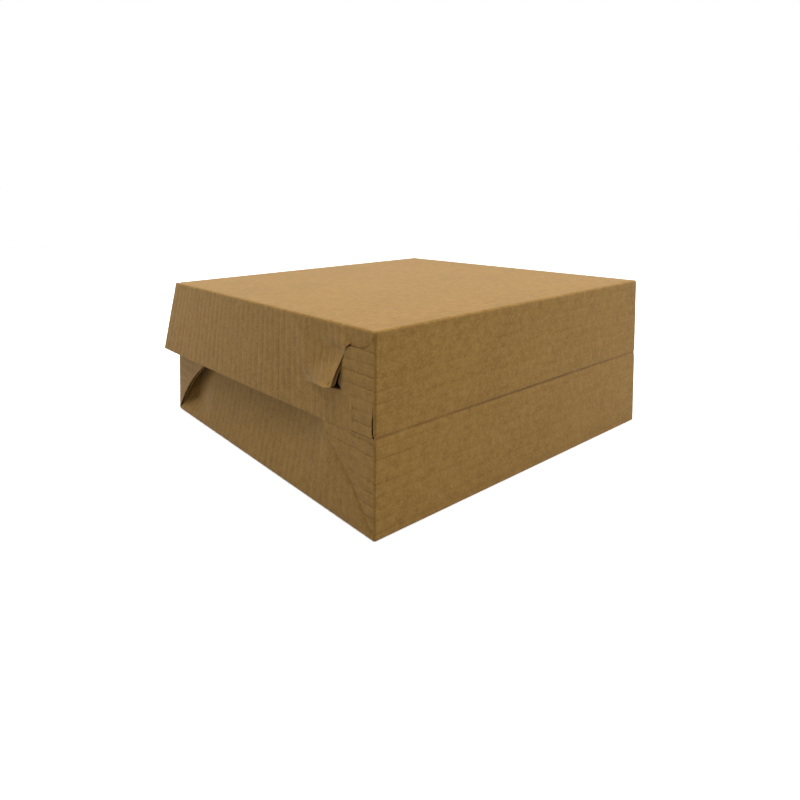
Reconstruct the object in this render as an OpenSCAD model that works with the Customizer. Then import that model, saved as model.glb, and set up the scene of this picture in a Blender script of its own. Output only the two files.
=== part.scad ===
// Square folding box of corrugated board: a tray and a lid that swings on a crease across the back wall.
// All sizes are in millimetres. X runs across the box, +Y is the hinge side and Z is up.
// The origin is the centre of the tray's footprint, on the surface that the box stands on.

/* [Box] */
// Outside width, over the corner tabs
box_w = 130; // [100:5:260]
// Outside depth of the tray, from the hinge wall to the front wall
box_d = 130; // [100:5:260]
// Height of the tray's back wall, up to the hinge crease
base_h = 27.6; // [24:0.2:60]
// Height of the lid's back wall, from the hinge crease to the top
lid_h = 28.4; // [24:0.2:60]
// How much lower the tray's other walls are than its back wall
rim_drop = 2.2; // [1.5:0.1:4]
// How much lower the lid's front wall is than its back wall
front_drop = 1.4; // [0.4:0.2:3]

/* [Board] */
// Thickness of the corrugated board
board = 1.5; // [1.2:0.1:2]
// Distance from one flute to the next
flute_pitch = 3.3; // [2.8:0.1:5]
// Thickness of each layer of paper in the board
paper = 0.25; // [0.15:0.05:0.3]
// Radius of a folded outside edge
crease_r = 0.8; // [0.6:0.1:1.4]

/* [Shape of the folded walls] */
// Slope of the lid's top, down towards the front, in degrees
lid_droop = 1.9; // [0:0.1:2]
// How far the lid's side walls stand out at their free front corner
flare = 6.8; // [4:0.1:9]
// How far the tray's side walls lean in at the middle of their rim
lean = 3.4; // [0:0.1:6]

/* [Tray tabs] */
// Length of a tray tab along the side wall
tab_l = 23.5; // [15:0.5:30]
// How far below the rim a tray tab's slanted edge ends
tab_shoulder_drop = 2.8; // [2.6:0.2:8]
// How far the slanted edge is hollowed
tab_hollow = 1.2; // [0:0.1:2]

/* [Lid locks] */
// Distance from the hinge side to the foot of the side wall's curved cut
slit_u = 16.6; // [16:0.1:18.5]
// Distance from the lid's top down to the level cut
slit_v = 18.2; // [15.5:0.1:19]
// Length of the level cut
slit_l = 18.5; // [12:0.5:20]
// How much lower the level cut is at its free end
slit_fall = 1.8; // [0:0.1:2.5]
// Width of the curved cut
slit_arc_w = 9.2; // [8:0.1:10]
// Height of the curved cut
slit_arc_h = 14.5; // [13:0.1:15]
// Distance from the hinge side to the end of a lock tab's tip
lock_l = 22; // [20.5:0.5:24]
// Distance from the lid's top down to a lock tab's upper edge
lock_top = 5.8; // [5:0.1:6.5]
// Length over which a lock tab's upper edge comes down from the corner
lock_sweep_l = 7.3; // [5:0.1:8]
// Width of a lock tab's neck
neck_w = 10; // [7:0.5:11]
// How far above the hinge crease the neck ends
neck_clear = 0.5; // [0.4:0.1:4]
// Angle at which a lock tab's tip goes in through its slit, in degrees
tip_angle = 26; // [22:1:28]
// Angle by which the lip of the slit is lifted over the tab, in degrees
lip_angle = 28; // [26:1:30]

/* [Lid ears] */
// How much shorter an ear is than the lid's front wall
ear_short = 3; // [2.6:0.2:10]

/* [Clearances] */
// Gap between two boards that lie on each other
lap_gap = 0.2; // [0.1:0.05:0.4]
// Gap left where two panels meet at a crease
crease_gap = 0.1; // [0.05:0.05:0.2]
// Gap left where a panel turns on a crease
hinge_gap = 0.3; // [0.2:0.05:0.5]
// Play between the tray's front wall and the lid's front wall
front_play = 1.2; // [1.1:0.1:3]

/* [Hidden] */
// Overrun of every cut
over = 0.5;
// Half sizes of the tray's outside
half_w = box_w / 2;
half_d = box_d / 2;
// Half width of the floor and of the lid's top, which fit between the folded edges of the side walls
panel_half_w = half_w - board - crease_gap;
// Outer face of the side walls where a tab presses them in
side_x = half_w - board - lap_gap;
// Distance from the outside of a corner to where the pieces beside it start
corner = board + crease_gap;
// Height of the tray's rim
rim_h = base_h - rim_drop;
// Height at which a tray tab's slanted edge ends
tab_shoulder_h = rim_h - tab_shoulder_drop;
// Length of the lid from its back wall to the outside of its front wall
lid_l = box_d + front_play + board;
// Height of the lid's front wall, and the radius of its ears
lid_front_h = lid_h - front_drop;
ear_r = lid_front_h - ear_short;
// Half width of the lid's front wall, which swings between the side walls
front_half_w = panel_half_w - hinge_gap;
// Distance from the lid's top down to the end of a lock tab's neck
neck_bottom = lid_h - neck_clear;
// How evenly the tray's side walls lean in; a larger value keeps the lean up to the tabs
lean_flatness = 3;
// Width of the cut around a lock tab
kerf = 2 * lap_gap;
// Distances from the hinge side between which the lid's side walls come free of the lock
wall_bend = slit_u + kerf;
wall_free = slit_u + slit_l;
// How fast they stand out
flare_power = 0.75;
// Where a lock tab bends in towards its slit
tip_bend = slit_u - board;
// Angle from the foot of the curved cut to its upper end
slit_arc_span = 69;
// Angle on the curved cut at which the lock tab's edge leaves it
tip_free_angle = 12;
// Distance from the lid's top down to a lock tab's upper edge at the corner
lock_foot_v = board + crease_r;
// Width of the notch between a lock tab's neck and its crease, and the share of the neck that it takes
neck_notch_w = 0.6;
neck_notch_share = 0.85;
// Where a tray tab's slanted edge starts: the distance from the corner and the height
tab_foot_shares = [0.07, 0.13];
tab_foot = [tab_foot_shares.x * tab_l, tab_foot_shares.y * tab_shoulder_h];
// Points of a lock tab's tip and of its shoulder, in shares of their widths and heights
tip_shares = [[0.4, 0.25], [0.86, 0.62], [1, 0.84], [0.9, 1]];
shoulder_shares = [[0.75, 0.02], [0.25, 0.1], [0, 0.3]];
// Places across the rounding of a bent wall's folded edge
edge_shares = [0, 0.3, 1];
// Steps in a curved outline and along a bent wall
arc_steps = 8;
wall_steps = 24;
// Smoothness of the folded edges
$fn = 24;

// The board's flutes

// Number of whole flutes in a width
function flute_count(w) = floor((w - 2 * board) / flute_pitch);

// The channels between the medium and the two liners, over a width: X across the flutes, Y through
module flute_channels(w) {
    n = flute_count(w);
    start = (w - n * flute_pitch) / 2;
    for (i = [0:n - 1]) {
        left = start + i * flute_pitch;
        polygon([
            [left + paper, paper],
            [left + flute_pitch - paper, paper],
            [left + flute_pitch / 2, board - 2 * paper]
        ]);
        if (i > 0)
            polygon([
                [left - flute_pitch / 2 + paper, board - paper],
                [left + flute_pitch / 2 - paper, board - paper],
                [left, 2 * paper]
            ]);
    }
}

// Channels that run along X and repeat along Y, for a level panel whose underside is at zero
module level_channels(w, d) {
    translate([-w / 2, -d / 2, 0])
        rotate([90, 0, 90])
            linear_extrude(w)
                flute_channels(d);
}

// Channels that run along X and repeat along Z, for a wall whose near face is at zero
module wall_channels(w, h) {
    translate([w / 2, 0, 0])
        rotate([0, -90, 0])
            linear_extrude(w)
                flute_channels(h);
}

// Channels that run along -Y and repeat along Z, for a tab whose inner face is at zero
module tab_channels(l, h) {
    translate([0, -l, 0])
        rotate([0, -90, -90])
            linear_extrude(l)
                flute_channels(h);
}

// Flat panels

// A level panel between four creases, with its underside at zero and its middle on the Z axis
module level_panel(half_x, depth) {
    difference() {
        translate([-half_x, -depth / 2, 0])
            cube([2 * half_x, depth, board]);
        level_channels(2 * (half_x + over), depth);
    }
}

// Profile of a wall that stands on a folded edge: X through the board with the outer face at zero, Y up
module wall_profile(h) {
    difference() {
        translate([-board, 0])
            square([board, h]);
        difference() {
            translate([-crease_r, -over])
                square([crease_r + over, crease_r + over]);
            translate([-crease_r, crease_r])
                circle(r = crease_r);
        }
    }
}

// A wall with its outer face at zero, its folded edge at the foot and folded upright ends
module cross_wall(half_x, h) {
    difference() {
        intersection() {
            translate([-half_x, 0, 0])
                rotate([90, 0, 90])
                    linear_extrude(2 * half_x)
                        wall_profile(h);
            linear_extrude(h) {
                for (side = [-1, 1])
                    translate([side * (half_x - crease_r), -crease_r])
                        circle(r = crease_r);
                translate([crease_r - half_x, -board])
                    square([2 * (half_x - crease_r), board]);
                translate([-half_x, -board])
                    square([2 * half_x, board - crease_r]);
            }
        }
        translate([0, -board, 0])
            wall_channels(2 * (half_x - 2 * board), h);
    }
}

// Bent side walls

// A sheet with a face for each cell of its grid; each row gives v from u, and place gives a point from u, v
// and a share of the thickness
module bent_sheet(us, rows, place) {
    nu = len(us);
    nv = len(rows);
    points = [for (w = [0, 1], u = us, row = rows) place(u, row(u), w)];
    function at(w, i, j) = (w * nu + i) * nv + j;
    outer = [for (i = [0:nu - 2], j = [0:nv - 2]) each [
        [at(0, i, j), at(0, i + 1, j + 1), at(0, i + 1, j)],
        [at(0, i, j), at(0, i, j + 1), at(0, i + 1, j + 1)]
    ]];
    inner = [for (i = [0:nu - 2], j = [0:nv - 2]) each [
        [at(1, i, j), at(1, i + 1, j), at(1, i + 1, j + 1)],
        [at(1, i, j), at(1, i + 1, j + 1), at(1, i, j + 1)]
    ]];
    ends = [for (j = [0:nv - 2]) each [
        [at(0, 0, j), at(1, 0, j), at(1, 0, j + 1)],
        [at(0, 0, j), at(1, 0, j + 1), at(0, 0, j + 1)],
        [at(0, nu - 1, j), at(1, nu - 1, j + 1), at(1, nu - 1, j)],
        [at(0, nu - 1, j), at(0, nu - 1, j + 1), at(1, nu - 1, j + 1)]
    ]];
    rims = [for (i = [0:nu - 2]) each [
        [at(0, i, 0), at(0, i + 1, 0), at(1, i + 1, 0)],
        [at(0, i, 0), at(1, i + 1, 0), at(1, i, 0)],
        [at(0, i, nv - 1), at(1, i + 1, nv - 1), at(0, i + 1, nv - 1)],
        [at(0, i, nv - 1), at(1, i, nv - 1), at(1, i + 1, nv - 1)]
    ]];
    polyhedron(points, concat(outer, inner, ends, rims));
}

// The channels of a bent sheet, each from where start says to v1 along the flutes
module bent_channels(u0, u1, start_at, v1, place) {
    w = u1 - u0;
    n = flute_count(w);
    start = u0 + (w - n * flute_pitch) / 2;
    for (i = [0:n - 1]) {
        left = start + i * flute_pitch;
        bent_prism([
            [left + paper, paper],
            [left + flute_pitch - paper, paper],
            [left + flute_pitch / 2, board - 2 * paper]
        ], start_at, v1, place);
        if (i > 0)
            bent_prism([
                [left + flute_pitch / 2 - paper, board - paper],
                [left - flute_pitch / 2 + paper, board - paper],
                [left, 2 * paper]
            ], start_at, v1, place);
    }
}

// One three-sided channel; each corner is a place along the wall and a depth in the board
module bent_prism(corners, start_at, v1, place) {
    v0 = max([for (c = corners) start_at(c[0])]);
    points = [for (v = [v0, v1], c = corners) place(c[0], v, c[1] / board)];
    polyhedron(points, [
        [0, 1, 2], [3, 5, 4],
        [0, 3, 4], [0, 4, 1],
        [1, 4, 5], [1, 5, 2],
        [2, 5, 3], [2, 3, 0]
    ]);
}

// A value between two others
function blend(a, b, share) = a + (b - a) * share;

// Evenly spaced places along a wall
function places(from, to, steps) = [for (i = [0:steps]) from + (to - from) * i / steps];

// How far a folded edge is rounded back at a distance from it
function edge_round(v) = v < crease_r ? crease_r - sqrt(crease_r ^ 2 - (crease_r - v) ^ 2) : 0;

// Part of a bent wall's height that is above its folded edge
function above_edge(v, h) = (v - board) / (h - board);

// A bent wall's outer face: upright at the folded edge, straight to its place at the bend, then to its free edge
function wall_x(v, bend_v, bend_x, free_v, free_x) =
    v <= board ? half_w
    : v < bend_v ? blend(half_w, bend_x, above_edge(v, bend_v))
    : blend(bend_x, free_x, (v - bend_v) / (free_v - bend_v));

// Height up to which the tray's side wall shows under a tab, at a distance from the nearer end
function tab_edge_h(e) = blend(tab_foot.y, tab_shoulder_h, min(1, (e - tab_foot.x) / (tab_l - tab_foot.x)));

// Lean of the tray's side wall at its rim; the tabs keep its ends upright
function lean_at(e) = lean * (1 - min(1, (half_d - e) / (half_d - tab_l)) ^ lean_flatness);

// A point of the tray's right wall, from its front end and its foot
function tray_point(u, v, w) =
    let (
        e = min(u, box_d - u),
        bend_v = tab_edge_h(e),
        rim_x = side_x - lean_at(e),
        bend_x = min(side_x, blend(half_w, rim_x, above_edge(bend_v, rim_h)))
    )
    [
        wall_x(v, bend_v, bend_x, rim_h, rim_x) - w * board - (w == 0 ? edge_round(v) : 0),
        u - half_d,
        v * cos(asin(lean_at(e) / rim_h))
    ];

// Greatest height of the lid's side wall, where its lower edge rests over the end of the tray tab
lid_side_back_h = base_h + lid_h - rim_h - 2 * hinge_gap - tab_l * tan(lid_droop);

// Height of the lid's side wall at a distance from the hinge side
function lid_side_h(u) =
    u < tab_l ? blend(lid_h - hinge_gap, lid_side_back_h, u / tab_l)
    : blend(lid_side_back_h, lid_front_h, (u - tab_l) / (lid_l - tab_l));

// Distance from the lid's top at which the lock tab has pressed the side wall in
function lock_edge_v(u) = blend(lock_foot_v, lock_top, min(1, (u - corner) / lock_sweep_l));

// How far the side wall's lower edge stands out
function stand_at(u) = flare * (max(0, u - wall_bend) / (lid_l - wall_bend)) ^ flare_power;

// A point of the lid's right wall, from its hinge end and its folded upper edge; lift raises it outwards
function lid_point(u, v, w, lift = 0) =
    let (
        h = lid_side_h(u),
        bend_v = lock_edge_v(u),
        low_x = side_x + stand_at(u),
        free = min(1, max(0, (u - wall_bend) / (wall_free - wall_bend))),
        bend_x = blend(side_x, blend(half_w, low_x, above_edge(bend_v, h)), free)
    )
    [
        wall_x(v, bend_v, bend_x, h, low_x) + lift - w * board - (w == 0 ? edge_round(v) : 0),
        -u,
        -v * cos(asin(stand_at(u) / h))
    ];

// Rows of a bent wall: the rounded edge, the end of the folded edge, the bend and the free edge
function wall_rows(bend_at, free_at) = concat(
    [for (s = edge_shares) function(u) s * crease_r],
    [function(u) board, bend_at, free_at]
);

// The tray

// Depth of a level panel between the front and back walls
tray_panel_d = box_d - 2 * (board + crease_gap);

module base_floor() {
    color("burlywood")
        level_panel(panel_half_w, tray_panel_d);
}

module base_back_wall() {
    color("peru")
        translate([0, half_d, 0])
            cross_wall(half_w, base_h - hinge_gap / 2);
}

module base_front_wall() {
    color("peru")
        translate([0, -half_d, 0])
            rotate([0, 0, 180])
                cross_wall(half_w, rim_h);
}

module base_side_wall() {
    us = concat([corner], places(tab_l, box_d - tab_l, wall_steps), [box_d - corner]);
    function edge_h(u) = tab_edge_h(min(u, box_d - u));
    place = function(u, v, w) tray_point(u, v, w);
    color("sandybrown")
        difference() {
            bent_sheet(us, wall_rows(function(u) edge_h(u), function(u) rim_h), place);
            bent_channels(corner, box_d - corner,
                function(u) min(u, box_d - u) < tab_l + flute_pitch ? edge_h(u) : board,
                rim_h + over, place);
        }
}

// Outline of a tray tab: X away from its crease, Y up; its upper edge runs from one height to another
module tray_tab_outline(corner_h, end_h) {
    slant = [for (i = [0:arc_steps])
        let (t = i / arc_steps, hollow = tab_hollow * sin(180 * t))
        [
            blend(tab_foot.x, tab_l, t) - hollow,
            blend(tab_foot.y, tab_shoulder_h, t) + hollow
        ]];
    intersection() {
        polygon(concat([[0, tab_foot.y]], slant, [[tab_l, end_h], [0, corner_h]]));
        translate([corner, 0])
            square([tab_l, corner_h]);
    }
}

// A tab that lies outside the right wall at the hinge side, with its outline drawn from the corner
module side_tab(h) {
    difference() {
        translate([half_w - board, half_d, 0])
            rotate([90, 0, 90])
                linear_extrude(board)
                    mirror([1, 0])
                        children();
        translate([half_w - board, half_d - 2 * board, 0])
            tab_channels(tab_l + over, h);
    }
}

// The back tabs rise to the hinge crease
module base_back_tab() {
    corner_h = base_h - hinge_gap;
    color("burlywood")
        side_tab(corner_h)
            tray_tab_outline(corner_h, rim_h + hinge_gap);
}

module base_front_tab() {
    color("burlywood")
        mirror([0, 1, 0])
            side_tab(rim_h)
                tray_tab_outline(rim_h, rim_h);
}

// The lid, hung from the outer edge between its back wall and its top

// Frame of the lid's top: it slopes down to the front
module lid_frame() {
    translate([0, half_d, base_h + lid_h])
        rotate([lid_droop, 0, 0])
            children();
}

module lid_top() {
    back = board + crease_gap;
    front = lid_l - board - hinge_gap;
    color("wheat")
        lid_frame()
            translate([0, -(back + front) / 2, -board])
                level_panel(panel_half_w, front - back);
}

module lid_back_wall() {
    color("peru")
        translate([0, half_d, base_h + lid_h])
            rotate([0, 180, 0])
                cross_wall(half_w, lid_h - hinge_gap / 2);
}

// The cut that a lock tab goes through

// Curved cut of the right wall, from its upper end to its foot, drawn in or out by a distance
function slit_arc(inset, from, to) =
    [for (i = [0:arc_steps])
        let (angle = blend(from, to, i / arc_steps))
        [
            slit_u - slit_arc_w + (slit_arc_w - inset) * cos(angle),
            slit_v - slit_arc_h * sin(angle)
        ]];
slit_head = slit_arc(0, slit_arc_span, 0)[0];
slit_end = [slit_u + slit_l, slit_v + slit_fall];

// Distance of a place on the wall from the line on which the lip bends
function lip_reach(p) =
    let (along = (slit_end - slit_head) / norm(slit_end - slit_head), from = p - slit_head)
    along.x * from.y - along.y * from.x;

// The hole in the right wall, under the lip and the end of the tab
module slit_window() {
    bend_angle = acos((tip_bend - slit_u + slit_arc_w) / slit_arc_w);
    outline = concat(
        slit_arc(0, slit_arc_span, bend_angle),
        [[tip_bend, slit_v + kerf], slit_end + [0, kerf], slit_end]
    );
    translate([side_x - flare - board, 0, 0])
        rotate([90, 0, 90])
            linear_extrude(2 * (flare + board))
                polygon(-outline);
}

// The lip of the slit, which lies over the tab
module slit_lip() {
    along = (slit_end - slit_head) / norm(slit_end - slit_head);
    root = [along.y, -along.x] * board / 2;
    outline = concat(
        [slit_head + root],
        slit_arc(0, slit_arc_span, 0),
        [slit_end, slit_end + root]
    );
    n = len(outline);
    points = [for (w = [0, 1], p = outline)
        lid_point(p.x, p.y, w, tan(lip_angle) * lip_reach(p))];
    outer = [for (i = [0:n - 3]) [n - 1, i, i + 1]];
    inner = [for (i = [0:n - 3]) [2 * n - 1, n + i + 1, n + i]];
    edge = [for (i = [0:n - 1])
        let (j = (i + 1) % n)
        each [[j, i, n + i], [j, n + i, n + j]]];
    polyhedron(points, concat(outer, inner, edge));
}

// The wall's back end stays upright although the lid slopes
module lid_side_wall() {
    us = concat([corner, corner + lock_sweep_l], places(wall_bend, wall_free, 2),
        [for (i = [1:arc_steps]) blend(wall_free, lid_l, i / arc_steps)]);
    color("tan")
        lid_frame() {
            difference() {
                bent_sheet(us, wall_rows(function(u) lock_edge_v(u), function(u) lid_side_h(u)),
                    function(u, v, w) lid_point(max(u, corner + v * tan(lid_droop)), v, w));
                bent_channels(corner, lid_l,
                    function(u) u < wall_free ? lock_edge_v(u) : board,
                    lid_side_back_h + over, function(u, v, w) lid_point(u, v, w));
                slit_window();
            }
            slit_lip();
        }
}

// Outline of a lock tab, away from its crease and down from the lid's top
function lock_outline() =
    let (
        head_angle = asin((slit_v - lock_top) / slit_arc_h),
        curve = slit_arc(kerf, head_angle, tip_free_angle),
        tip_start = curve[arc_steps],
        bottom = slit_v - kerf,
        notch_top = blend(neck_bottom, slit_v, neck_notch_share)
    )
    concat(
        [for (i = [0:arc_steps])
            let (angle = 90 * i / arc_steps)
            [corner + lock_sweep_l * (1 - cos(angle)), blend(lock_foot_v, lock_top, sin(angle))]],
        curve,
        [for (s = tip_shares) [blend(tip_start.x, lock_l, s.x), blend(tip_start.y, bottom, s.y)]],
        [for (s = shoulder_shares) [blend(neck_w, tip_bend, s.x), blend(bottom, neck_bottom, s.y)]],
        [
            [neck_w, neck_bottom],
            [corner + neck_notch_w, neck_bottom],
            [corner + neck_notch_w, notch_top],
            [corner, notch_top - neck_notch_w]
        ]
    );

// The bent board of a lock tab seen from above: X through the board, Y back to the hinge side
function lock_plan() =
    let (
        far = lock_l + over,
        inner_bend = tip_bend - board * tan(tip_angle / 2)
    )
    [
        [board, 0],
        [board, -tip_bend],
        [board - (far - tip_bend) * tan(tip_angle), -far],
        [-(far - inner_bend) * tan(tip_angle), -far],
        [0, -inner_bend],
        [0, 0]
    ];

// Its channels, which stop on both sides of the bend because the board is crushed there
module lock_channels() {
    foot = lap_gap - neck_bottom;
    translate([0, 0, foot])
        tab_channels(tip_bend - board, neck_bottom);
    translate([board, -tip_bend, 0])
        rotate([0, 0, -tip_angle])
            translate([-board, -board, foot])
                tab_channels(lock_l, neck_bottom);
}

module lid_lock_tab() {
    outline = [for (p = lock_outline()) [-p.x, -p.y - p.x * tan(lid_droop)]];
    color("burlywood")
        translate([half_w - board, half_d, base_h + lid_h])
            difference() {
                intersection() {
                    translate([-lock_l, 0, 0])
                        rotate([90, 0, 90])
                            linear_extrude(2 * lock_l)
                                polygon(outline);
                    translate([0, 0, -2 * neck_bottom])
                        linear_extrude(2 * neck_bottom)
                            polygon(lock_plan());
                }
                lock_channels();
            }
}

module lid_front_wall() {
    color("peru")
        lid_frame()
            translate([0, -lid_l, 0])
                rotate([0, 180, 180])
                    cross_wall(front_half_w, lid_front_h);
}

// An ear is rounded about the crease of the front wall, so that it slips out when the wall is turned up
module lid_ear() {
    below = board + hinge_gap;
    first = asin(below / ear_r);
    last = acos(corner / ear_r);
    color("burlywood")
        lid_frame()
            translate([front_half_w - board, -lid_l, 0])
                difference() {
                    rotate([90, 0, 90])
                        linear_extrude(board)
                            polygon(concat([[corner, -below]],
                                [for (i = [0:arc_steps])
                                    let (angle = blend(first, last, i / arc_steps))
                                    ear_r * [cos(angle), -sin(angle)]]));
                    translate([0, ear_r + over, -ear_r - below])
                        tab_channels(ear_r + over - 2 * board, ear_r);
                }
}

module left() {
    mirror([1, 0, 0])
        children();
}

base_floor();
base_back_wall();
base_front_wall();
base_side_wall();  // base_right_wall
left() base_side_wall();  // base_left_wall
base_back_tab();  // base_back_right_tab
left() base_back_tab();  // base_back_left_tab
base_front_tab();  // base_front_right_tab
left() base_front_tab();  // base_front_left_tab
lid_top();
lid_back_wall();
lid_side_wall();  // lid_right_wall
left() lid_side_wall();  // lid_left_wall
lid_lock_tab();  // lid_right_lock_tab
left() lid_lock_tab();  // lid_left_lock_tab
lid_front_wall();
lid_ear();  // lid_front_right_ear
left() lid_ear();  // lid_front_left_ear
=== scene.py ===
"""Square folding box of corrugated board: the visible board over the CAD parts, and the stage for its picture."""

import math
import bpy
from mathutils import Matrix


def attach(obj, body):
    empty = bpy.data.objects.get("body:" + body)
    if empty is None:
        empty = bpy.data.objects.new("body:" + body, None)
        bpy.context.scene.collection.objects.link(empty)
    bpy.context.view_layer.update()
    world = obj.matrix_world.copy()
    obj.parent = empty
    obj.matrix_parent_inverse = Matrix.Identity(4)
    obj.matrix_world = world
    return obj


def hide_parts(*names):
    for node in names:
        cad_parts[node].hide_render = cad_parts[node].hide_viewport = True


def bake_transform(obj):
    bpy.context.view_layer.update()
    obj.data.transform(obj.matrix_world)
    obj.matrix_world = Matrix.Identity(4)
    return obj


bl_info = {
    "name": "Square folding box",
    "version": (1, 0, 0),
    "blender": (4, 5, 0),
    "location": "3D View > Sidebar > Folding box",
    "description": "Covers the CAD parts of a square corrugated box with real liners and fluting, and sets its stage",
    "category": "Object",
}

import bpy
import numpy as np
from mathutils import Matrix, Vector
from mathutils.geometry import delaunay_2d_cdt

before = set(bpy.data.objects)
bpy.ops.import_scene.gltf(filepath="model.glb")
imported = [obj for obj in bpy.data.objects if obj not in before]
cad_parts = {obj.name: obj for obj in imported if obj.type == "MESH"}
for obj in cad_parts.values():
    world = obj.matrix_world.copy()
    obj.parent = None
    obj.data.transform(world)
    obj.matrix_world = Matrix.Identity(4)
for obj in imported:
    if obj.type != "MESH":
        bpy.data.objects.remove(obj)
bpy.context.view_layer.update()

MM = 0.001
TRAY, LID, FLAP = "tray", "lid", "front_flap"
SIDES = (("right", 1), ("left", -1))


# Sizes and colours


class BoxSizes(bpy.types.PropertyGroup):
    """The folded box, in millimetres, as in the part's source"""

    width: bpy.props.FloatProperty(
        name="Width", description="Outside width over the corner tabs, mm",
        default=130,
    )
    depth: bpy.props.FloatProperty(name="Depth", description="Outside depth of the tray, mm", default=130)
    base_height: bpy.props.FloatProperty(
        name="Hinge height", description="Height of the hinge crease, mm",
        default=27.6,
    )
    lid_height: bpy.props.FloatProperty(
        name="Lid height", description="Height of the lid's back wall, mm",
        default=28.4,
    )
    rim_drop: bpy.props.FloatProperty(
        name="Rim drop", description="How much lower the tray's rim is, mm",
        default=2.2,
    )
    front_drop: bpy.props.FloatProperty(
        name="Front drop", description="How much lower the lid's front wall is, mm",
        default=1.4,
    )
    front_play: bpy.props.FloatProperty(
        name="Front play", description="Play between the two front walls, mm",
        default=1.2,
    )
    droop: bpy.props.FloatProperty(
        name="Lid droop", description="Slope of the lid's top to the front",
        default=math.radians(1.9), subtype="ANGLE",
    )
    flare: bpy.props.FloatProperty(
        name="Flare", description="How far the lid's side walls stand out at the front, mm",
        default=6.8,
    )
    lean: bpy.props.FloatProperty(
        name="Lean", description="How far the tray's side walls lean in, mm",
        default=3.4,
    )


class BoardSizes(bpy.types.PropertyGroup):
    """The corrugated board, in millimetres"""

    board: bpy.props.FloatProperty(name="Board", description="Thickness of the board, mm", default=1.5)
    paper: bpy.props.FloatProperty(
        name="Paper", description="Thickness of each layer of paper, mm",
        default=0.25,
    )
    pitch: bpy.props.FloatProperty(name="Flute pitch", description="Distance between flutes, mm", default=3.3)
    crease: bpy.props.FloatProperty(
        name="Crease radius", description="Radius of a folded outside edge, mm",
        default=0.8,
    )
    washboard: bpy.props.FloatProperty(
        name="Washboard", description="How far the liner sinks between flutes, mm",
        default=0.07,
    )
    crush: bpy.props.FloatProperty(
        name="Crush depth", description="Depth of the lines where flutes were crushed, mm",
        default=0.12,
    )


class KraftLook(bpy.types.PropertyGroup):
    """Colours of the brown paper"""

    liner: bpy.props.FloatVectorProperty(
        name="Liner", description="Brown liner paper",
        subtype="COLOR", size=3, default=(0.290, 0.158, 0.034),
    )
    light: bpy.props.FloatVectorProperty(
        name="Light fibres", description="Pale fibres in the liner",
        subtype="COLOR", size=3, default=(0.400, 0.236, 0.068),
    )
    dark: bpy.props.FloatVectorProperty(
        name="Dark fibres", description="Dark fibres in the liner",
        subtype="COLOR", size=3, default=(0.184, 0.093, 0.018),
    )
    edge: bpy.props.FloatVectorProperty(
        name="Cut edge", description="Fresh cut edge of the paper",
        subtype="COLOR", size=3, default=(0.390, 0.242, 0.090),
    )
    medium: bpy.props.FloatVectorProperty(
        name="Fluting", description="Paper of the flutes inside the board",
        subtype="COLOR", size=3, default=(0.225, 0.125, 0.037),
    )


class StageSettings(bpy.types.PropertyGroup):
    """Camera and light of the picture"""

    focal: bpy.props.FloatProperty(
        name="Focal length", description="Focal length on a 36 mm sensor",
        default=28.842,
    )
    floor: bpy.props.FloatVectorProperty(
        name="Floor", description="Pale floor",
        subtype="COLOR", size=3, default=(0.38, 0.38, 0.38),
    )
    overhead: bpy.props.FloatProperty(
        name="Overhead", description="Power of the overhead softbox, W",
        default=12.0,
    )
    left: bpy.props.FloatProperty(
        name="Left lamp", description="Power of the lamp at the left, W",
        default=1.2,
    )
    right: bpy.props.FloatProperty(
        name="Right lamp", description="Power of the lamp at the right, W",
        default=5.7,
    )
    sky: bpy.props.FloatProperty(
        name="Surroundings", description="Strength of the light from all round",
        default=0.27,
    )


def sizes():
    return bpy.context.scene.box_sizes


def board():
    return bpy.context.scene.board_sizes


# Places on the folded box, in millimetres


def eased(x):
    """A soft rise from 0 to 1 while x goes from 0 to 1"""
    x = np.clip(x, 0, 1)
    return x * x * (3 - 2 * x)


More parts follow.
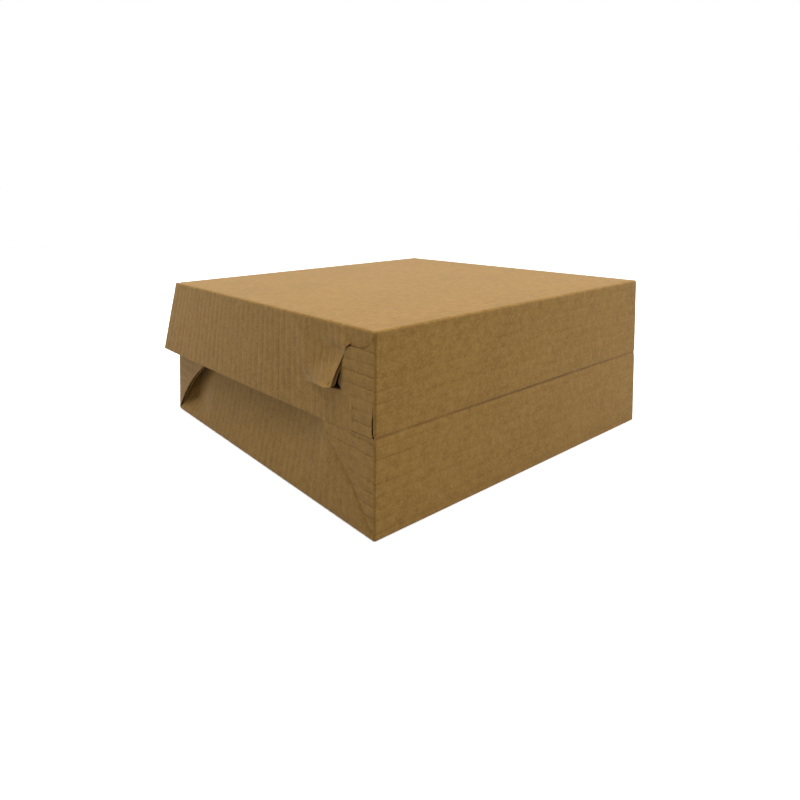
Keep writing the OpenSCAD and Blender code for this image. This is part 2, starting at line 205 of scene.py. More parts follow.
class Fold:
    """Lengths that follow from the sizes, and the place of every point of each folded panel"""

    def __init__(self):
        s, b = sizes(), board()
        self.board, self.paper, self.pitch, self.radius = b.board, b.paper, b.pitch, b.crease
        self.gap, self.turn_gap, self.lap = 0.1, 0.3, 0.2
        self.half_w, self.half_d = s.width / 2, s.depth / 2
        self.base_h, self.lid_h = s.base_height, s.lid_height
        self.top_z = self.base_h + self.lid_h
        self.rim_h = self.base_h - s.rim_drop
        self.side_x = self.half_w - self.board - self.lap
        self.panel_half = self.half_w - self.board - self.gap
        self.front_half = self.panel_half - self.turn_gap
        self.lid_l = s.depth + s.front_play + self.board
        self.front_h = self.lid_h - s.front_drop
        self.droop, self.flare, self.lean = s.droop, s.flare, s.lean
        self.depth = s.depth
        self.arc = self.radius * math.pi / 2
        self.extra = self.arc - self.radius
        self.inside = self.board + self.gap
        # Tabs and locks
        self.tab_l = 23.5
        self.shoulder_h = self.rim_h - 2.8
        self.tab_hollow = 1.2
        self.lap_start = self.radius + 0.02
        self.tab_foot = (self.lap_start, 1.5)
        self.slit_u, self.slit_v, self.slit_l, self.slit_fall = 16.6, 18.2, 18.5, 1.8
        self.slit_end = (self.slit_u + self.slit_l, self.slit_v + self.slit_fall)
        self.arc_w, self.arc_h, self.arc_top = 9.2, 14.5, math.radians(69)
        self.lock_l, self.lock_top, self.lock_sweep, self.neck_w = 22.0, 5.8, 7.3, 10.0
        self.lock_foot = self.radius + 0.5
        self.neck_bottom = self.lid_h - 0.5
        self.tip_angle = math.radians(26)
        self.lip_w, self.lip_from, self.lip_rise = 8.3, 12.2, 4.3
        self.kerf = 2 * self.lap
        self.tip_bend = self.slit_u - self.board
        self.ear_r = self.front_h - 3
        seat = 0.15
        self.side_back_h = (
            self.base_h + self.lid_h - self.rim_h - self.turn_gap - seat - self.tab_l * math.tan(self.droop)
        )

    def fold(self, t, w):
        """Depth and height of a point on a folded edge: t runs up the wall, from -extra at the start of the fold"""
        angle = np.clip((t + self.extra) / self.radius, 0, math.pi / 2)
        past = np.maximum(t - self.radius, 0)
        reach = self.radius - w
        depth = self.radius - reach * np.sin(angle)
        height = self.radius - reach * np.cos(angle) + past
        straight = t >= self.radius
        return np.where(straight, w, depth), np.where(straight, t, height)

    def lid(self, x, u, v):
        """A point of the lid's own frame, which slopes down to the front: u from the hinge side, v down from the top"""
        c, s = math.cos(self.droop), math.sin(self.droop)
        return np.stack([x, self.half_d - u * c + v * s, self.top_z - u * s - v * c], -1)

    def face_x(self, h, bend_h, bend_x, free_h, free_x, straight, step):
        """Outer face of a side wall: from its folded edge in to a tab's edge and under it, then to its free edge"""
        under, tuck_curve = 2.6, 1.5
        edge_x = bend_x + (self.half_w - step - bend_x) * (1 - straight)
        q = np.clip((h - self.radius) / (bend_h - self.radius), 0, 1)
        above = self.half_w + (edge_x - self.half_w) * q
        tucked = bend_x + (edge_x - bend_x) * np.clip(1 - (h - bend_h) / under, 0, 1) ** tuck_curve
        below = (free_x - bend_x) * (h - bend_h) / (free_h - bend_h)
        return np.where(h < bend_h, above, tucked + below)

    def lapped(self, e, t, extra=0):
        """Distance from a corner, drawn back from it as the wall goes in behind the tab"""
        reach, rise = 4, 1.4
        start = self.lap_start + (self.inside - self.lap_start) * np.clip((t - self.lock_foot) / rise, 0, 1) + extra
        return np.where(e < reach, start + (e - self.lap_start) * (reach - start) / (reach - self.lap_start), e)

    def tab_edge_h(self, e):
        """Height of a tray tab's slanted edge"""
        foot, height = self.tab_foot
        return height + (self.shoulder_h - height) * np.minimum(1, (e - foot) / (self.tab_l - foot))

    def tray_side(self, s, t, w):
        """s runs from the hinge side and t up from the floor"""
        front_reach, back_flatness, under_tab, step = 26, 3, 0.3, 0.27
        front_loose, back_loose, dent = 5, 6, 3.4
        e = self.lapped(np.minimum(s, self.depth - s), t)
        s = np.where(s < self.half_d, e, self.depth - e)
        front = s < self.half_d
        back_lean = 1 - np.minimum(1, (self.half_d - e) / (self.half_d - self.tab_l)) ** back_flatness
        lean = self.lean * np.where(front, 1 - (1 - np.minimum(1, e / front_reach)) ** 2, back_lean)
        d, h = self.fold(t, w)
        bend_h, rim_x = self.tab_edge_h(e) - under_tab, self.side_x - lean
        share = (bend_h - self.radius) / (self.rim_h - self.radius)
        bend_x = np.minimum(self.side_x, self.half_w + (rim_x - self.half_w) * share)
        at_back = np.clip((e - back_loose) / (self.tab_l - back_loose), 0, 1)
        loose = np.where(front, np.clip(e / front_loose, 0, 1), at_back)
        x = self.face_x(h, bend_h, bend_x, self.rim_h, rim_x, loose, step)
        # The front corner gives way inwards behind its tab
        dip = dent * eased((e - 1.6) / 6) * (1 - eased((e - 8) / 20)) * eased((h - 0.9) / 7)
        x = x - np.where(front, dip, 0)
        return np.stack([x - d, s - self.half_d, h * np.cos(np.arcsin(lean / self.rim_h))], -1)

    def lid_side_h(self, u):
        """Height of the lid's side wall at a distance from the hinge side"""
        near = self.lid_h + 0.05
        back = near + (self.side_back_h - near) * u / self.tab_l
        far = self.side_back_h + (self.front_h - self.side_back_h) * (u - self.tab_l) / (self.lid_l - self.tab_l)
        return np.where(u < self.tab_l, back, far)

    def lip_reach(self, u, v):
        """Distance of a point from the line between the slit's two ends, and its place along that line"""
        head, end = self.slit_curve(0, self.arc_top, 0)[0], np.array(self.slit_end)
        along = (end - head) / np.linalg.norm(end - head)
        return along[0] * (v - head[1]) - along[1] * (u - head[0]), along[0] * (u - head[0]) + along[1] * (v - head[1])

    def lip_lift(self, u, v):
        """How far the lip of the slit is lifted off the wall, in one broad bend that fades to both ends of the slit"""
        across, along = self.lip_reach(u, v)
        past_cut = ((u - self.slit_u + self.arc_w) / self.arc_w) ** 2 + ((self.slit_v - v) / self.arc_h) ** 2 > 0.985
        level = self.slit_v + self.slit_fall * np.maximum(0, u - self.slit_u) / self.slit_l
        on_lip = (v <= level + 0.01) & past_cut
        soft, far, end, even = 4.0, 24.0, 28.8, 6
        rise = (across + np.hypot(across, soft)) / (self.lip_w + math.hypot(self.lip_w, soft))
        left = (far - along) / (far - self.lip_from)
        fall = np.minimum((left + np.hypot(left, 0.3)) / 2, 1)
        rise = (rise ** -even + fall ** -even) ** (-1 / even) * 2 ** (1 / even)
        lift = self.lip_rise * rise * eased(along / 3.2 + 0.1) * eased((end - along) / 4)
        return np.where(on_lip, lift * eased((v - self.radius) / 5), 0)

    def lid_side(self, s, t, w):
        """s runs from the hinge side and t down from the top"""
        flare_from, flare_power, step, flush_x = 17, 0.75, 0.38, 1.6
        pulled_back, pulled_up = 0.10, 0.16
        u = self.lapped(s, t, np.maximum(t, 0) * math.tan(self.droop))
        stand = self.flare * (np.maximum(0, u - flare_from) / (self.lid_l - flare_from)) ** flare_power
        side_h = self.lid_side_h(u)
        d, h = self.fold(t, w)
        swept = np.clip((u - self.lap_start) / self.lock_sweep, 0, 1)
        bend_h = self.lock_foot + (self.lock_top - self.lock_foot) * np.sqrt(1 - (1 - swept) ** 2) + 0.05
        low_x = self.side_x + stand
        free = np.clip((u - flare_from) / (self.slit_end[0] - flare_from), 0, 1)
        straight_x = self.half_w + (low_x - self.half_w) * (bend_h - self.radius) / (side_h - self.radius)
        bend_x = self.side_x + (straight_x - self.side_x) * free
        x = self.face_x(h, bend_h, bend_x, side_h, low_x, free, step)
        flush = eased((u - self.neck_w - 0.1) / 1.0) * eased((h - self.slit_v + 0.15) / 0.4)
        x = np.maximum(x, self.side_x + flush_x * flush)
        lift = self.lip_lift(s, t)
        down = h * np.cos(np.arcsin(stand / side_h)) - pulled_up * lift
        return self.lid(x + lift - d, u + pulled_back * lift, down)

    def cross(self, s, t, w, half):
        """A wall across the box, its foot and its upright ends folded: s runs across and t up

        Gives across, in and up.
        """
        d, h = self.fold(t, w)
        start = half - self.radius
        c = np.maximum(np.abs(s) - start, 0)
        angle = np.clip(c / self.radius, 0, math.pi / 2)
        rho = self.radius - d
        x = np.where(c > 0, start + rho * np.sin(angle), np.abs(s)) * np.sign(s)
        inward = np.where(c > 0, self.radius - rho * np.cos(angle) + np.maximum(c - self.arc, 0), d)
        return x, inward, h

    def slit_curve(self, inset, start, end, steps=24):
        """The curved cut of the lock, between two angles from its foot"""
        a = np.linspace(start, end, steps)
        along = self.slit_u - self.arc_w + (self.arc_w - inset) * np.cos(a)
        return np.stack([along, self.slit_v - self.arc_h * np.sin(a)], -1)

    def lock_tab(self, s, t, w, bend=1.2):
        """s runs down from the top and t along from the corner; the tip turns in through the slit"""
        q = t - (self.tip_bend - bend)
        angle = self.tip_angle * np.clip(q / (2 * bend), 0, 1)
        r = 2 * bend / self.tip_angle
        past = np.maximum(q - 2 * bend, 0)
        inward = np.where(q > 0, r * (1 - np.cos(angle)) + past * np.sin(angle), 0)
        along = np.where(q > 0, self.tip_bend - bend + r * np.sin(angle) + past * np.cos(angle), t)
        return np.stack([
            self.half_w - inward - w * np.cos(angle),
            self.half_d - along + w * np.sin(angle),
            self.top_z - s - t * math.tan(self.droop),
        ], -1)


# Board: flat patches of paper, placed on the fold


def inside_of(points, loop):
    """Which points lie inside a closed outline"""
    x, y = points[:, 0:1], points[:, 1:2]
    x0, y0 = loop[:, 0], loop[:, 1]
    x1, y1 = np.roll(x0, -1), np.roll(y0, -1)
    crosses = ((y0 > y) != (y1 > y)) & (x < (x1 - x0) * (y - y0) / np.where(y1 == y0, 1e-12, y1 - y0) + x0)
    return crosses.sum(1) % 2 == 1


def clear_of(points, loop, least):
    """Which points keep a least distance from an outline"""
    a, b = loop, np.roll(loop, -1, 0)
    ab = b - a
    ap = points[:, None, :] - a[None]
    share = np.clip((ap * ab).sum(-1) / np.maximum((ab**2).sum(-1), 1e-12), 0, 1)
    gap = np.linalg.norm(ap - share[..., None] * ab, axis=-1)
    return gap.min(1) > least


def evenly(start, end, step):
    """Even places from start to end, no further apart than step"""
    return np.linspace(start, end, max(2, int(math.ceil(abs(end - start) / step)) + 1))


def divided(loop, step):
    """An outline with its long sides divided"""
    loop = np.asarray(loop, float)
    out = []
    for a, b in zip(loop, np.roll(loop, -1, 0)):
        n = max(1, int(math.ceil(np.linalg.norm(b - a) / step)))
        out.append(a + (b - a) * np.arange(n)[:, None] / n)
    return np.concatenate(out)


def grid_patch(s, t):
    """A rectangle of paper with a point at each place across and along the flutes"""
    ss, tt = np.meshgrid(s, t, indexing="ij")
    index = np.arange(ss.size).reshape(ss.shape)
    quads = np.stack([index[:-1, :-1], index[1:, :-1], index[1:, 1:], index[:-1, 1:]], -1).reshape(-1, 4)
    return np.stack([ss.ravel(), tt.ravel()], -1), [tuple(q) for q in quads.tolist()]


def cut_patch(outline, holes, s, t, step=0.6):
    """Paper cut to an outline, with a net of points inside it"""
    loops = [divided(loop, step) for loop in (outline, *holes)]
    ss, tt = np.meshgrid(s, t, indexing="ij")
    net = np.stack([ss.ravel(), tt.ravel()], -1)
    keep = inside_of(net, loops[0])
    for hole in loops[1:]:
        keep &= ~inside_of(net, hole)
    net = net[keep]
    for loop in loops:
        net = net[clear_of(net, loop, step * 0.35)]
    points, edges, first = [], [], 0
    for loop in loops:
        n = len(loop)
        points.append(loop)
        edges += [(first + i, first + (i + 1) % n) for i in range(n)]
        first += n
    points.append(net)
    points = np.concatenate(points)
    made = delaunay_2d_cdt([Vector(p) for p in points.tolist()], edges, [], 0, 1e-7)
    flat = np.array([tuple(p) for p in made[0]])
    faces = np.array([f for f in made[2] if len(f) == 3])
    middle = flat[faces].mean(1)
    keep = inside_of(middle, loops[0])
    for hole in loops[1:]:
        keep &= ~inside_of(middle, hole)
    return flat, [tuple(f) for f in faces[keep].tolist()]


class Board:
    """A mesh made of closed sheets of paper"""

    def __init__(self):
        self.points, self.faces, self.finish, self.flat = [], [], [], []
        self.wear, self.hollow_shade, self.hinge_shade = [], [], []
        self.count = 0

    def sheet(self, patch, place, outer, inner, finish=0, edge=1, wear=None, hollow_shade=None, hinge_shade=None, crest=0):
        """One sheet between two depths in the board"""
        flat, faces = patch
        n = len(flat)
        s, t = flat[:, 0], flat[:, 1]
        top, low = place(s, t, outer(s, t)), place(s, t, inner(s, t))
        points = np.concatenate([top, low])
        edges = {}
        for f in faces:
            for a, b in zip(f, f[1:] + f[:1]):
                edges[(a, b)] = edges.get((a, b), 0) + 1
        rim = [(a, b) for (a, b) in edges if (b, a) not in edges]
        sides = [(b, a, a + n, b + n) for a, b in rim]
        under = [tuple(i + n for i in reversed(f)) for f in faces]
        everything = faces + under + sides
        tri = np.array([(f[0], f[i], f[i + 1]) for f in everything for i in range(1, len(f) - 1)])
        a, b, c = points[tri[:, 0]], points[tri[:, 1]], points[tri[:, 2]]
        volume = (a * np.cross(b, c)).sum()
        if volume < 0:
            everything = [tuple(reversed(f)) for f in everything]
        self.points.append(points)
        self.faces += [tuple(i + self.count for i in f) for f in everything]
        self.finish += [finish] * (2 * len(faces)) + [edge] * len(sides)
        phase = np.stack([(s - crest) / board().pitch, t / board().pitch], -1)
        self.flat.append(np.concatenate([phase, phase]))
        # Masks of painted shade for the paper's material, one value per point
        for kept, given in ((self.wear, wear), (self.hinge_shade, hinge_shade), (self.hollow_shade, hollow_shade)):
            marks = np.zeros(n) if given is None else given(s, t)
            kept.append(np.concatenate([marks, marks]))
        self.count += 2 * n

    def make(self, name, side, body, nodes):
        points = np.concatenate(self.points) * MM
        faces = self.faces
        if side < 0:
            points = points * (-1, 1, 1)
            faces = [tuple(reversed(f)) for f in faces]
        mesh = bpy.data.meshes.new(name)
        mesh.from_pydata(points.tolist(), [], faces)
        mesh.polygons.foreach_set("material_index", np.array(self.finish, np.int32))
        corner = np.zeros(len(mesh.loops), np.int32)
        mesh.loops.foreach_get("vertex_index", corner)
        flutes = np.concatenate(self.flat)[corner].astype(np.float32)
        mesh.uv_layers.new(name="Flutes").data.foreach_set("uv", flutes.ravel())
        for mark, values in (("wear", self.wear), ("hollow_shade", self.hollow_shade), ("hinge_shade", self.hinge_shade)):
            values = np.concatenate(values).astype(np.float32)
            mesh.attributes.new(mark, "FLOAT", "POINT").data.foreach_set("value", values)
        mesh.shade_smooth()
        mesh.set_sharp_from_angle(angle=math.radians(38))
        for material in kraft_papers():
            mesh.materials.append(material)
        piece = bpy.data.objects.new(name, mesh)
        bpy.context.scene.collection.objects.link(piece)
        if nodes:
            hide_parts(*nodes)
        if isinstance(body, str):
            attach(piece, body)
        return piece


def hump(x, width):
    """A soft bump of height 1 round 0"""
    return np.exp(-((x / width) ** 2))


def ripple(s, t, seed):
    """Slow unevenness of the paper, from 0 to 1"""
    rows = np.random.RandomState(seed).uniform(0, 2 * math.pi, 8)
    waves = (
        np.sin(s * 0.21 + rows[0]) * np.sin(t * 0.17 + rows[1])
        + np.sin(s * 0.45 + t * 0.30 + rows[2])
        + np.sin(t * 0.52 - s * 0.24 + rows[3])
        + 0.6 * np.sin(s * 1.15 + rows[4]) * np.sin(t * 0.9 + rows[5])
    )
    return np.clip(0.5 + waves / 7.2, 0, 1)


class Paper:
    """How one panel's liner sinks and creases, by place across the flutes and along them"""

    def __init__(self, crest, seed, corners=(), reach=24.0, strength=1.0, calm=None):
        self.crest, self.seed, self.corners = crest, seed, corners
        self.reach, self.strength, self.calm = reach, strength, calm
        self.fold = Fold()
        self.pressed = None
        self.seam = None

    def flute(self, s):
        return 0.5 - 0.5 * np.cos(2 * math.pi * (s - self.crest) / self.fold.pitch)

    def crush_amount(self, s, t):
        """How far each hollow next to a folded end is crushed to a line"""
        flutes = 400
        total = np.zeros_like(s)
        number = np.round((s - self.crest) / self.fold.pitch - 0.5).astype(int)
        for k, (corner, force) in enumerate(self.corners):
            chance = np.random.RandomState(self.seed * 31 + k).uniform(0, 1, (flutes, 2))
            pick = chance[np.clip(number + flutes // 2, 0, flutes - 1)]
            length = self.reach * (0.25 + 0.75 * pick[:, 0])
            fade = np.clip(1 - np.abs(t - corner) / length, 0, 1) ** 0.8
            total = np.maximum(total, force * fade * np.clip(pick[:, 1] * 1.4, 0.2, 1))
        return total

    def crushed(self, s, t):
        return self.crush_amount(s, t) * np.clip(1 - (1 - self.flute(s)) * 5, 0, 1)

    def hollow_shade(self, s, t):
        """How strongly the painted shade in the hollows between the flutes shows"""
        calm = np.ones_like(s) if self.calm is None else self.calm(s, t)
        return self.strength * calm

    def sink(self, s, t):
        b = board()
        wavy, press, seam = 0.06, 0.09, 0.06
        calm = 1 if self.calm is None else self.calm(s, t)
        depth = b.washboard * self.flute(s) + wavy * ripple(s, t, self.seed)
        total = self.strength * calm * depth + calm * b.crush * self.crushed(s, t)
        if self.pressed is not None:
            total = total + press * np.clip(1 - np.abs(np.abs(t) - self.pressed) / 0.3, 0, 1)
        if self.seam is not None:
            total = total + seam * hump(t - self.seam * np.sign(t), 0.6)
        return total

    def outer(self, s, t):
        return self.sink(s, t)

    def under(self, s, t):
        return self.sink(s, t) + self.fold.paper

    def inner_face(self, s, t):
        return np.full_like(s, self.fold.board - self.fold.paper)

    def back_face(self, s, t):
        return np.full_like(s, self.fold.board) - 0.4 * self.strength * board().washboard * (1 - self.flute(s))

    def wave(self, s, t):
        b = self.fold
        clear, most = 0.02, 0.55
        high, low = b.paper + clear, b.board - 2 * b.paper - clear
        lift = np.minimum(self.sink(s, t) * 1.05, most)
        return np.maximum(high + (low - high) * self.flute(s), high + lift)

    def wave_back(self, s, t):
        return self.wave(s, t) + self.fold.paper


# Materials


def node(tree, kind, **values):
    made = tree.nodes.new(kind)
    for key, value in values.items():
        setattr(made, key, value)
    return made


def math_node(tree, operation, a, b=None, clamp=False):
    made = node(tree, "ShaderNodeMath", operation=operation, use_clamp=clamp)
    for socket, value in zip(made.inputs, (a, b)):
        if value is None:
            continue
        if isinstance(value, (int, float)):
            socket.default_value = value
        else:
            tree.links.new(value, socket)
    return made.outputs[0]


def colour_mix(tree, blend, share, a, b):
    made = node(tree, "ShaderNodeMix", data_type="RGBA", blend_type=blend)
    for socket, value in ((made.inputs[0], share), (made.inputs[6], a), (made.inputs[7], b)):
        if isinstance(value, (int, float)):
            socket.default_value = value
        elif isinstance(value, bpy.types.NodeSocket):
            tree.links.new(value, socket)
        else:
            socket.default_value = (*value, 1)
    return made.outputs[2]


def ramp(tree, value, low, high):
    made = node(tree, "ShaderNodeMapRange", clamp=True)
    tree.links.new(value, made.inputs[0])
    made.inputs[1].default_value, made.inputs[2].default_value = low, high
    return made.outputs[0]


def noise(tree, vector, scale, detail=4.0, rough=0.6):
    made = node(tree, "ShaderNodeTexNoise")
    tree.links.new(vector, made.inputs["Vector"])
    made.inputs["Scale"].default_value = scale
    made.inputs["Detail"].default_value = detail
    made.inputs["Roughness"].default_value = rough
    return made.outputs["Fac"]


def stretched(tree, vector, stretch):
    made = node(tree, "ShaderNodeMapping")
    tree.links.new(vector, made.inputs["Vector"])
    made.inputs["Scale"].default_value = stretch
    return made.outputs[0]


def flute_lines(tree):
    """Masks for painted shade: soft hollows between the flutes and thin wandering creases in them, from the place
    counted in flutes
    """
    flat = node(tree, "ShaderNodeSeparateXYZ")
    tree.links.new(node(tree, "ShaderNodeUVMap", uv_map="Flutes").outputs[0], flat.inputs[0])
    number = math_node(tree, "FLOOR", flat.outputs[0])
    along = node(tree, "ShaderNodeCombineXYZ")
    tree.links.new(math_node(tree, "MULTIPLY", number, 7.3), along.inputs[0])
    tree.links.new(math_node(tree, "MULTIPLY", flat.outputs[1], 0.45), along.inputs[1])
    wander = math_node(tree, "SUBTRACT", noise(tree, along.outputs[0], 1.0, 2, 0.5), 0.5)
    wander = math_node(tree, "MULTIPLY", wander, 0.5)
    across = math_node(tree, "SUBTRACT", math_node(tree, "FRACT", flat.outputs[0]), 0.5)
    hollow = ramp(tree, math_node(tree, "ABSOLUTE", across), 0.20, 0.04)
    thin = ramp(tree, math_node(tree, "ABSOLUTE", math_node(tree, "ADD", across, wander)), 0.058, 0.02)
    third = math_node(tree, "MULTIPLY", flat.outputs[0], 3)
    third = math_node(tree, "FRACT", math_node(tree, "ADD", third, math_node(tree, "MULTIPLY", wander, 2.5)))
    finer = ramp(tree, math_node(tree, "ABSOLUTE", math_node(tree, "SUBTRACT", third, 0.5)), 0.16, 0.03)
    return hollow, math_node(tree, "MAXIMUM", thin, math_node(tree, "MULTIPLY", finer, 0.4))


def kraft(name, base, light, dark, lines, specks, rough):
    """Brown paper: soft formation, fine grain, fibres both ways, painted shade in the board's hollows, in the creases
    of crushed flutes and along the hinge crease, a few specks
    """
    material = bpy.data.materials.new(name)
    material.use_nodes = True
    tree = material.node_tree
    shader = tree.nodes["Principled BSDF"]
    place = node(tree, "ShaderNodeTexCoord").outputs["Object"]
    clouds = noise(tree, place, 45, 3, 0.5)
    mottle = noise(tree, place, 420, 3, 0.6)
    grain = noise(tree, place, 1500, 3, 0.65)
    fibres = noise(tree, stretched(tree, place, (700, 2600, 2600)), 1.0, 3, 0.6)
    cross_fibres = noise(tree, stretched(tree, place, (2600, 700, 700)), 1.0, 3, 0.6)
    colour = base
    for pattern, low, high, strength, tone in (
        (clouds, 0.60, 0.30, 0.22, dark),
        (mottle, 0.50, 0.72, 0.42, light),
        (mottle, 0.48, 0.30, 0.38, dark),
        (grain, 0.46, 0.70, 0.62, light),
    ):
        share = math_node(tree, "MULTIPLY", ramp(tree, pattern, low, high), strength)
        colour = colour_mix(tree, "MIX", share, colour, tone)
    thin = math_node(tree, "MAXIMUM", ramp(tree, fibres, 0.60, 0.74), ramp(tree, cross_fibres, 0.62, 0.76))
    colour = colour_mix(tree, "MIX", math_node(tree, "MULTIPLY", thin, 0.46), colour, light)
    dim = math_node(tree, "MAXIMUM", ramp(tree, fibres, 0.40, 0.28), ramp(tree, cross_fibres, 0.38, 0.27))
    colour = colour_mix(tree, "MIX", math_node(tree, "MULTIPLY", dim, 0.44), colour, dark)
    if lines:
        # Tone of the painted shade in creases and along the hinge crease
        crease_shade_tone = (0.42, 0.36, 0.28)
        hollow, crease = flute_lines(tree)
        uneven = ramp(tree, noise(tree, stretched(tree, place, (160, 160, 60)), 1.0, 2, 0.5), 0.30, 0.68)
        # Painted shade: the hollows between the flutes are darkened, where shade falls in them
        hollow_shade = node(tree, "ShaderNodeAttribute", attribute_name="hollow_shade").outputs["Fac"]
        share = math_node(tree, "MULTIPLY", hollow_shade, hollow)
        share = math_node(tree, "MULTIPLY", share, math_node(tree, "MULTIPLY", uneven, 0.42))
        colour = colour_mix(tree, "MULTIPLY", share, colour, (0.66, 0.60, 0.52))
        # Painted shade: the thin creases of crushed flutes next to folded ends are darkened
        crush_amount = node(tree, "ShaderNodeAttribute", attribute_name="wear").outputs["Fac"]
        share = math_node(tree, "MULTIPLY", math_node(tree, "MULTIPLY", crush_amount, crease), 0.62, True)
        colour = colour_mix(tree, "MULTIPLY", share, colour, crease_shade_tone)
        # Painted shade: the hinge crease's groove is darkened
        hinge_shade = node(tree, "ShaderNodeAttribute", attribute_name="hinge_shade").outputs["Fac"]
        colour = colour_mix(tree, "MULTIPLY", math_node(tree, "MULTIPLY", hinge_shade, 1.0, True), colour, crease_shade_tone)
    if specks:
        dots = node(tree, "ShaderNodeTexVoronoi", feature="F1")
        tree.links.new(place, dots.inputs["Vector"])
        dots.inputs["Scale"].default_value = 300
        pick = node(tree, "ShaderNodeSeparateColor")
        tree.links.new(dots.outputs["Color"], pick.inputs[0])
        rare = ramp(tree, pick.outputs[0], 0.985, 0.988)
        spot = math_node(tree, "MULTIPLY", ramp(tree, dots.outputs["Distance"], 0.10, 0.05), rare)
        colour = colour_mix(tree, "MIX", math_node(tree, "MULTIPLY", spot, 0.7), colour, (0.60, 0.50, 0.34))
    tree.links.new(colour, shader.inputs["Base Color"])
    shader.inputs["Specular IOR Level"].default_value = 0.12
    shader.inputs["Sheen Weight"].default_value = 0.08
    shader.inputs["Sheen Roughness"].default_value = 0.45
    spread = 0.22
    roughness = math_node(tree, "ADD", math_node(tree, "MULTIPLY", grain, spread), rough - spread / 2)
    tree.links.new(roughness, shader.inputs["Roughness"])
    relief = math_node(tree, "ADD", math_node(tree, "MULTIPLY", mottle, 0.6), math_node(tree, "MULTIPLY", fibres, 0.5))
    bump = node(tree, "ShaderNodeBump")
    bump.inputs["Strength"].default_value = 0.5
    bump.inputs["Distance"].default_value = 0.00005
    tree.links.new(relief, bump.inputs["Height"])
    tree.links.new(bump.outputs[0], shader.inputs["Normal"])
    return material


def kraft_papers():
    """The liner, its cut edge and the fluting, made once"""
    look = bpy.context.scene.kraft_look
    wanted = (
        ("Kraft liner", tuple(look.liner), tuple(look.light), tuple(look.dark), True, True, 0.62),
        ("Cut edge of the paper", tuple(look.edge), tuple(look.light), tuple(look.liner), False, False, 0.8),
        ("Kraft fluting", tuple(look.medium), tuple(look.liner), tuple(look.dark), False, False, 0.75),
    )
    return [bpy.data.materials.get(row[0]) or kraft(*row) for row in wanted]


# Pieces


def panel_layers(piece, paper, place, liner, inner, middle, wear=True):
    """The outer liner, the inner liner and the fluting between them"""
    # The liner's crushed flute lines get painted shade in their creases
    crush_amount = paper.crush_amount if wear else None
    piece.sheet(liner, place, paper.outer, paper.under, wear=crush_amount, hollow_shade=paper.hollow_shade, crest=paper.crest)
    piece.sheet(inner, place, paper.inner_face, paper.back_face)
    piece.sheet(middle, place, paper.wave, paper.wave_back, finish=2, edge=2)


def flute_places(start, end, paper, fine=8):
    """Places across the flutes that fall on every crest and valley"""
    pitch = board().pitch
    first = math.floor((start - paper.crest) / pitch * fine)
    last = math.ceil((end - paper.crest) / pitch * fine)
    inside = [paper.crest + pitch * i / fine for i in range(first, last + 1)]
    inside = [x for x in inside if start + 0.05 < x < end - 0.05]
    return np.array([start, *inside, end])


def first_crest(width, start, half=False):
    """Where the fluting first touches the outer liner, as the solid's channels are set out"""
    f = Fold()
    count = math.floor((width - 2 * f.board) / f.pitch)
    return start + (width - count * f.pitch) / 2 + (f.pitch / 2 if half else 0)


def flat_panel(name, body, cad, place, half, crest, seed, ends, inner_half, inner_ends):
    """A level panel: s runs from the hinge side to the front and t across"""
    fade = 3

    def calm(s, t):
        sides = np.clip((half - np.abs(t)) / fade, 0, 1)
        return sides * np.clip((s - ends[0]) / fade, 0, 1) * np.clip((ends[1] - s) / fade, 0, 1)

    paper = Paper(crest, seed, strength=0.45, calm=calm)
    paper.pressed = half - 0.75
    piece = Board()
    across = evenly(-(half - 1.5), half - 1.5, 1.6)
    edge = half - np.array([0, 0.35, 0.55, 0.75, 0.95, 1.15])
    across = np.unique(np.concatenate([-edge, across, edge]))
    liner = grid_patch(flute_places(ends[0], ends[1], paper), across)
    inside = evenly(-inner_half, inner_half, 2.5)
    inner = grid_patch(flute_places(inner_ends[0], inner_ends[1], paper, 4), inside)
    middle = grid_patch(flute_places(inner_ends[0], inner_ends[1], paper), evenly(-inner_half, inner_half, 8))
    panel_layers(piece, paper, place, liner, inner, middle, wear=False)
    return piece.make(name, 1, body, [cad])


class BOX_OT_fold_level_panels(bpy.types.Operator):
    """Fold the tray's floor and the lid's top"""

    bl_idname = "box.fold_level_panels"
    bl_label = "Fold floor and top"

    def execute(self, context):
        f = Fold()
        edge = f.radius
        floor = lambda s, t, w: np.stack([t, f.half_d - s, w], -1)
        crest = first_crest(f.depth - 2 * f.inside, f.inside)
        flat_panel("tray_floor", TRAY, "base_floor", floor, f.half_w - edge, crest, 3,
                   (edge, f.depth - edge), f.panel_half, (f.inside, f.depth - f.inside))
        top = lambda s, t, w: f.lid(t, s, w)
        end = f.lid_l - f.board - f.turn_gap
        crest = first_crest(end - f.inside, f.inside, half=True)
        flat_panel("lid_top_panel", LID, "lid_top", top, f.half_w - edge, crest, 5,
                   (edge, end - 0.5), f.panel_half, (f.inside, end))
        return {"FINISHED"}


